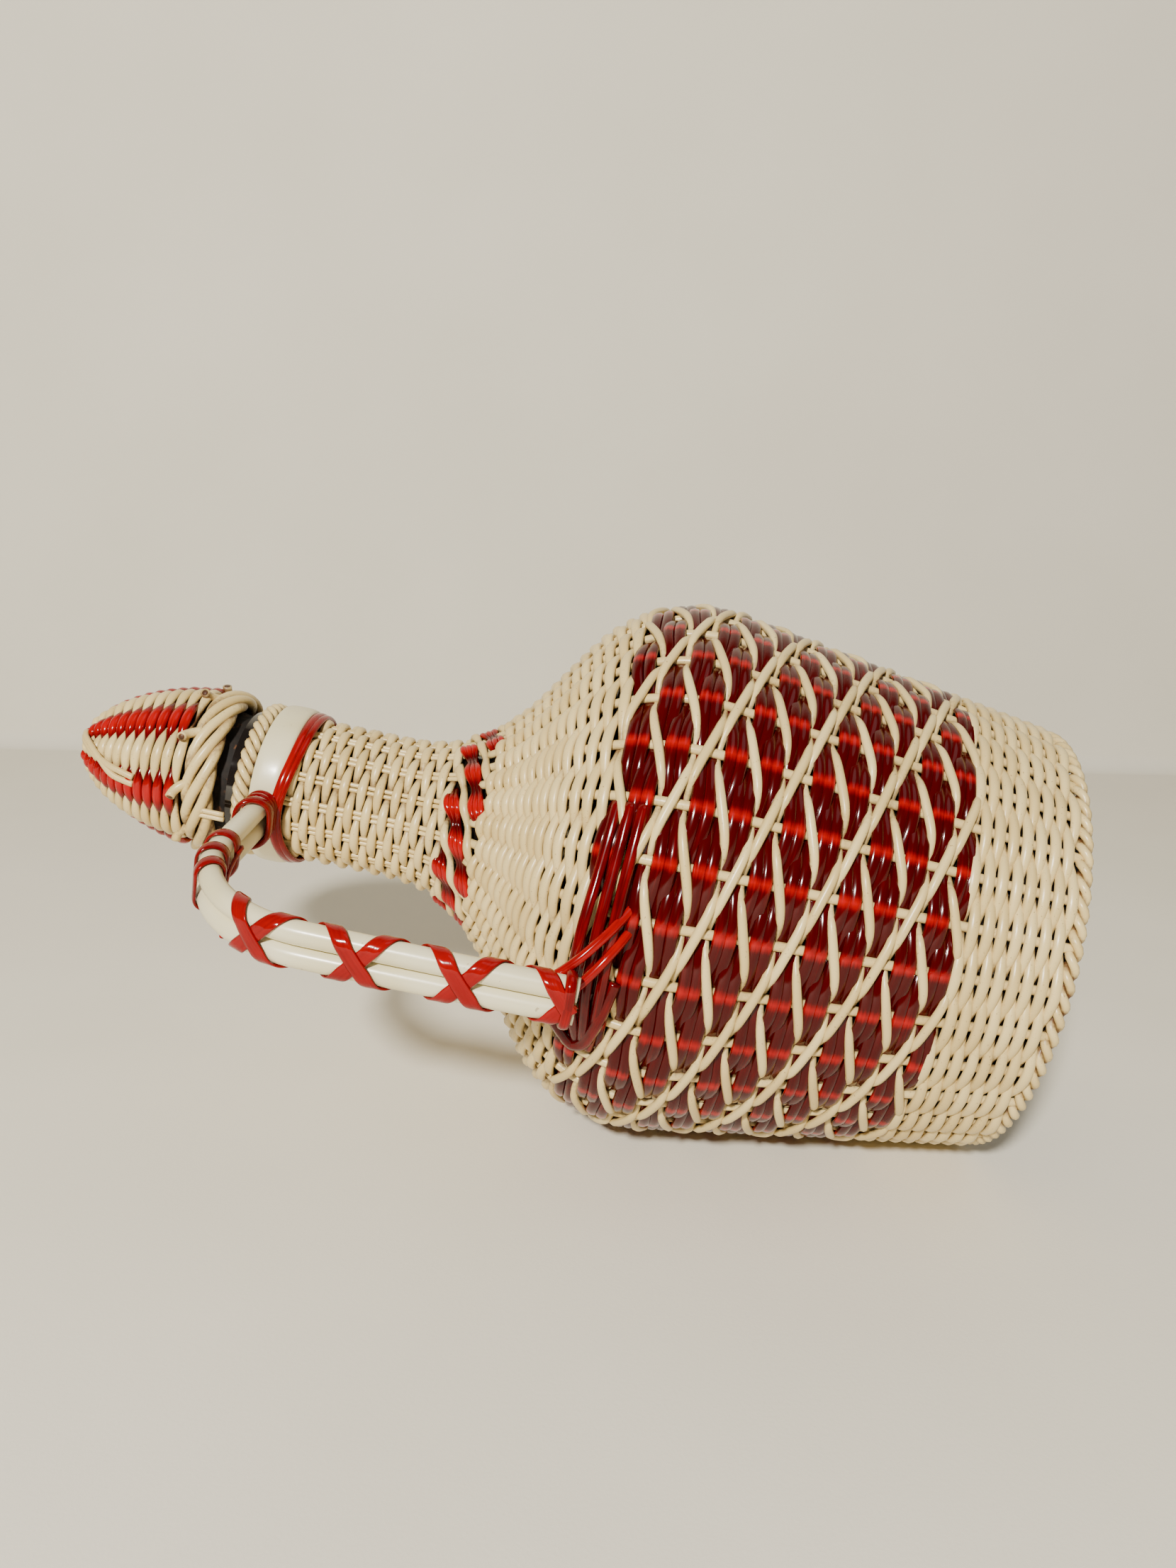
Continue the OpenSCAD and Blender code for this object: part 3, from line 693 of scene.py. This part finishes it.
top_bands = [band_round(1.4, 1.4, 0.6), band_round(4.0, 1.4, 0.9), band_round(8.6, 2.2, 3.0, lift=1.3)]
top_bands += [band_round(s, 2.2, 2.0, lift=0.7, thick=0.6) for s in (34.0, 43.5, 53.0)]
joiner = np.linspace(30.0, FIRST_CROSSING - 0.5 * TAPE_PITCH, 60)
top_bands.append(wound(joiner, np.linspace(0.9, 1.5, 60) * math.pi, 1.4, 1.0, 0.6))
piece("top_lashing", top_bands, TAPE, "bottle", "red_cane", "upper_lashing")

# %% [markdown]
# **The lower lashing** ties the tubes' ends to the body: three red canes come down the body
# and pass over the ends of the tubes, one loop hangs below, and two strands run on from the last crossing
# of the tape. A few points give each cane's path, and a running average bends it smoothly through them.

# %% Lower lashing


def through(points, wide, thick, backed=0.4, samples=60):
    """A cane through a few (height, angle in degrees, lift) points on the glass, smoothed between them."""
    points = np.asarray(points, float)
    knots = np.linspace(0, 1, len(points))
    t = np.linspace(0, 1, samples)
    smooth = np.stack([np.interp(t, knots, points[:, i]) for i in range(3)], -1)
    kernel = np.hanning(samples // len(points) + 4)
    kernel /= kernel.sum()
    half = len(kernel) // 2
    before, after = 2 * smooth[0] - smooth[half:0:-1], 2 * smooth[-1] - smooth[-2:-half - 2:-1]
    padded = np.concatenate([before, smooth, after])
    smooth = np.stack([np.convolve(padded[:, i], kernel, mode="valid")[:samples] for i in range(3)], -1)
    line, outward = GLASS.lay(smooth[:, 0], smooth[:, 1] * DEG, smooth[:, 2])
    return canes(line, outward, wide, thick, closed=False, high=0.85, backed=backed)


ties = []
for i in range(3):
    ties.append(through([(139 - 3.3 * i, 26, 4.6), (139.5 - 3.3 * i, 13, 6.0),
                         (139 - 3.1 * i, 2, 11.0 - 1.5 * i), (138.3 - 2.9 * i, -8, 13.0 - 2.2 * i),
                         (137.6 - 2.4 * i, -17, 8.6 - 1.0 * i), (137.0 - 1.6 * i, -25, 4.4)],
                        1.75, 1.25, 0.3))
hanging_loop = [(147, -14, 13.0), (142.5, -19, 9.0), (138, -25, 6.2), (134.5, -23, 6.2), (131.5, -14, 7.6),
                (130, -6, 6.4)]
ties.append(through(hanging_loop, 1.9, 1.2, 0.3))
upper_strand = [(150, -13, 23.5), (144, -9.5, 24.0), (137, -2, 16.8), (132.5, 4, 9.8), (129.5, 9, 1.5)]
lower_strand = [(148, -14.5, 22.5), (142, -12, 22.8), (135.5, -6, 15.6), (131.5, 0, 9.6), (128.5, 5, 1.5)]
ties += [through(strand, 1.4, 1.1, 0.7) for strand in (upper_strand, lower_strand)]
ties.append(band_round(HANDLE_LEN - 2.6, 1.6, 0.5))
piece("foot_lashing", ties, RED, "bottle", "red_cane", "lower_lashing")

# %% [markdown]
# **The stopper's cap** is a cone woven over its own stakes from one red and one cream cane per row. Each
# passes over every other stake, so the colours stack up in twelve sectors, and the pointed ends of the
# stitches interlock in a zigzag. It is the same plain weave as before, on another skin.

# %% Cap weave
CAP_STAKES, CAP_ROWS = 12, 12
CAP_FIRST = 20.3
CAP_TWIST = 0.3  # degrees per millimetre
cap_profile = np.array([(270, 27.0), (278, 26.0), (283, 25.6), (290, 25.0), (297, 23.7), (304, 21.6),
                        (310, 19.2), (316, 16.0), (321, 12.4), (325, 8.6), (328, 4.6), (329.5, 2.0)])
cap_heights = np.arange(270.0, 329.5, 0.5)
padded_profile = np.pad(np.interp(cap_heights, *cap_profile.T), 4, mode="edge")
smoothed = np.convolve(padded_profile, np.hanning(11)[1:-1] / 5, mode="valid")
CAP = Skin(cap_heights, smoothed)
cap_rows = CAP.rows(286.0, 327.0, 2 * CAP_ROWS)


def cap_rings(colour_parity):
    """Every other cane of the cap: cream with parity 0, red with parity 1."""
    parts = []
    for i, height in enumerate(cap_rows):
        if i % 2 != colour_parity:
            continue
        twist = (CAP_FIRST - CAP_TWIST * (height - 288.0)) * DEG
        parts.append(weave(CAP, np.array([height]), CAP_STAKES, twist, -0.9, 2.0, 0.5, 1.9, 1.35,
                           reach=0.7, per=16, parity=colour_parity))
    return parts


piece("cap_cream_rows", cap_rings(0), CREAM, "stopper", "cream_cane", "cap_weave_cream", "cap_stakes")
piece("cap_red_rows", cap_rings(1), RED, "stopper", "red_cane", "cap_weave_red")

# %% [markdown]
# **The cap's border** is laid from the cap's own stakes: each leaves the weave, bends down over the
# edge and runs along it, and together they make a rope of five. Every forty degrees a cane leaves the
# rope as a cut end, which shows the brown inside of the tube. At the tip a red loop holds two cream ties.

# %% Border, tip and ties


def soft(values, t, knots):
    """Smooth interpolation of a few values."""
    rough = np.interp(t, knots, values)
    kernel = np.hanning(13)[1:-1] / np.hanning(13).sum()
    return np.convolve(np.pad(rough, 5, mode="reflect", reflect_type="odd"), kernel, mode="valid")


CUT_ENDS = 9
border, ends = [rope(279.8, 25.3, 1.9, 1.8, -3, strands=5, flat=2.0)], []
for k in range(CUT_ENDS):
    angle = (34.0 + k * 360 / CUT_ENDS + np.linspace(9.0, -1.5, 10)) * DEG
    out = np.linspace(0, 1, 10)
    line = place(287.2 - 4.7 * (1 - out) ** 2, angle, 26.2 + 3.6 * out ** 2)
    border.append(canes(line, radial(angle), 1.6, 1.6, closed=False, high=0.6, sides=12))
    stub = line[-1] - (line[-1] - line[-2]) * 0.5, line[-1] + unit(line[-1] - line[-2]) * 0.08
    ends.append(canes(np.array([*stub]), radial(angle[-2:]), 1.05, 1.05, closed=False, high=0.2, sides=12))
piece("cap_edge", border, CREAM, "stopper", "cream_cane", "cap_border")
piece("cap_cut_ends", ends, CUT, "stopper", "cream_cane")


def on_cap(points, wide, thick, samples=50):
    """A cane over the cap through (height, angle in degrees, lift) points."""
    points = np.asarray(points, float)
    t = np.linspace(0, 1, samples)
    knots = np.linspace(0, 1, len(points))
    height, angle, lift = (soft(points[:, i], t, knots) for i in range(3))
    line, outward = CAP.lay(height, angle * DEG, lift)
    return canes(line, outward, wide, thick, closed=False, high=0.9, backed=0.6)


tip_turn = np.linspace(0, 2 * math.pi, 60, endpoint=False)
loops = [canes(place(326.4 + 2.2 * i, tip_turn, 6.0 - 2.2 * i), radial(tip_turn), 1.6, 1.5,
               high=0.8, backed=0.4) for i in (0, 1)]
piece("cap_loop", loops, RED, "stopper", "red_cane", "cap_tip_loop")
tip_ties = [on_cap([(327.0, 34 + 9 * i, 2.2), (323, 18 + 5 * i, 4.0), (317, 5 + 4 * i, 4.3),
                    (309, 0 - 7 * i, 4.0), (302, -4 - 6 * i, 2.0)], 1.15, 1.05) for i in (0, 1)]
piece("tip_ties", tip_ties, CREAM, "stopper", "cream_cane")
sticks = []
for degrees in (-15.0, -19.0):
    height = np.linspace(269.5, 279.0, 6)
    sticks.append(canes(place(height, degrees * DEG, 27.6), np.broadcast_to(radial(degrees * DEG), (6, 3)),
                        0.85, 0.85, closed=False, high=0.8))
piece("tie_sticks", sticks, CREAM, "stopper", "cream_cane", "stopper_tie")

# %% [markdown]
# ** The stage** is plain: a pale floor that curves up into a wall behind. It belongs to the picture and
# not to the bottle. One soft lamp stands high in front, a little to the left: it
# gives the gloss its long highlights and lays the handle's shadow on the floor. A dim one above and a
# faint sky fill the shadows.

# %% Floor, light and camera


def stage_sheet():
    """A floor that turns up into a wall in a quarter bend."""
    width, front, wall, round_r, height, skew = 3.0, -2.5, 0.585, 0.015, 2.5, 6.5 * DEG
    bend = np.linspace(0, math.pi / 2, 13)
    bent = [(wall + round_r * (math.sin(a) - 1), round_r * (1 - math.cos(a))) for a in bend]
    profile = [(front, 0.0)] + bent + [(wall, height)]
    points = [(x, y, z) for y, z in profile for x in (-width, width)]
    faces = [(2 * i, 2 * i + 1, 2 * i + 3, 2 * i + 2) for i in range(len(profile) - 1)]
    mesh = bpy.data.meshes.new("floor")
    mesh.from_pydata(points, [], faces)
    mesh.polygons.foreach_set("use_smooth", np.ones(len(faces), bool))
    f = Finish("pale_cloth", Roughness=0.9)
    where = f.where()
    weave_grain, fold_relief_and_shade = f.noise(where, 900.0, 3.0), f.noise(where, 7.0, 3.0)
    # the fold noise also lightens and darkens the cloth's colour: painted shade of folds, besides their bump
    f.set(Base_Color=f.mix(fold_relief_and_shade, colour(226, 220, 202), colour(238, 232, 216)),
          Normal=f.bump(weave_grain * 0.05 + fold_relief_and_shade, 0.25, 0.004))
    mesh.materials.append(f.material)
    floor = bpy.data.objects.new("floor", mesh)
    bpy.context.scene.collection.objects.link(floor)
    floor.rotation_euler.z = skew


def lamp(name, place_m, aim, size, power, tint):
    light = bpy.data.lights.new(name, "AREA")
    light.shape, light.size, light.energy, light.color = "DISK", size, power, tint
    holder = bpy.data.objects.new(name, light)
    holder.location = place_m
    holder.rotation_euler = (Vector(aim) - Vector(place_m)).to_track_quat("-Z", "Y").to_euler()
    bpy.context.scene.collection.objects.link(holder)


stage_sheet()
lamp("key", (-0.25, -1.35, 0.98), (0.0, 0.0, 0.06), 0.15, 47.0, (1.0, 0.96, 0.89))
lamp("fill", (0.5, -0.2, 1.5), (0.0, 0.0, 0.1), 0.9, 2.0, (1.0, 0.98, 0.95))
world = bpy.data.worlds.new("studio")
world.use_nodes = True
world.node_tree.nodes["Background"].inputs["Color"].default_value = (0.93, 0.95, 1.0, 1.0)
world.node_tree.nodes["Background"].inputs["Strength"].default_value = 0.08
bpy.context.scene.world = world

camera = bpy.data.objects.new("camera", bpy.data.cameras.new("camera"))
right, up = Vector((0.99621, 0.08167, 0.02992)), Vector((-0.04806, 0.23019, 0.97196))
behind = right.cross(up)
turned = Matrix((right, up, behind)).transposed().to_4x4()
camera.matrix_world = Matrix.Translation((0.04034, -0.38788, 0.21252)) @ turned
camera.data.sensor_fit = "AUTO"
camera.data.sensor_width = 36.0
camera.data.lens = 27.016
camera.data.clip_start = 0.01
bpy.context.scene.collection.objects.link(camera)
bpy.context.scene.camera = camera
print("camera at", tuple(round(x, 3) for x in camera.matrix_world.translation))
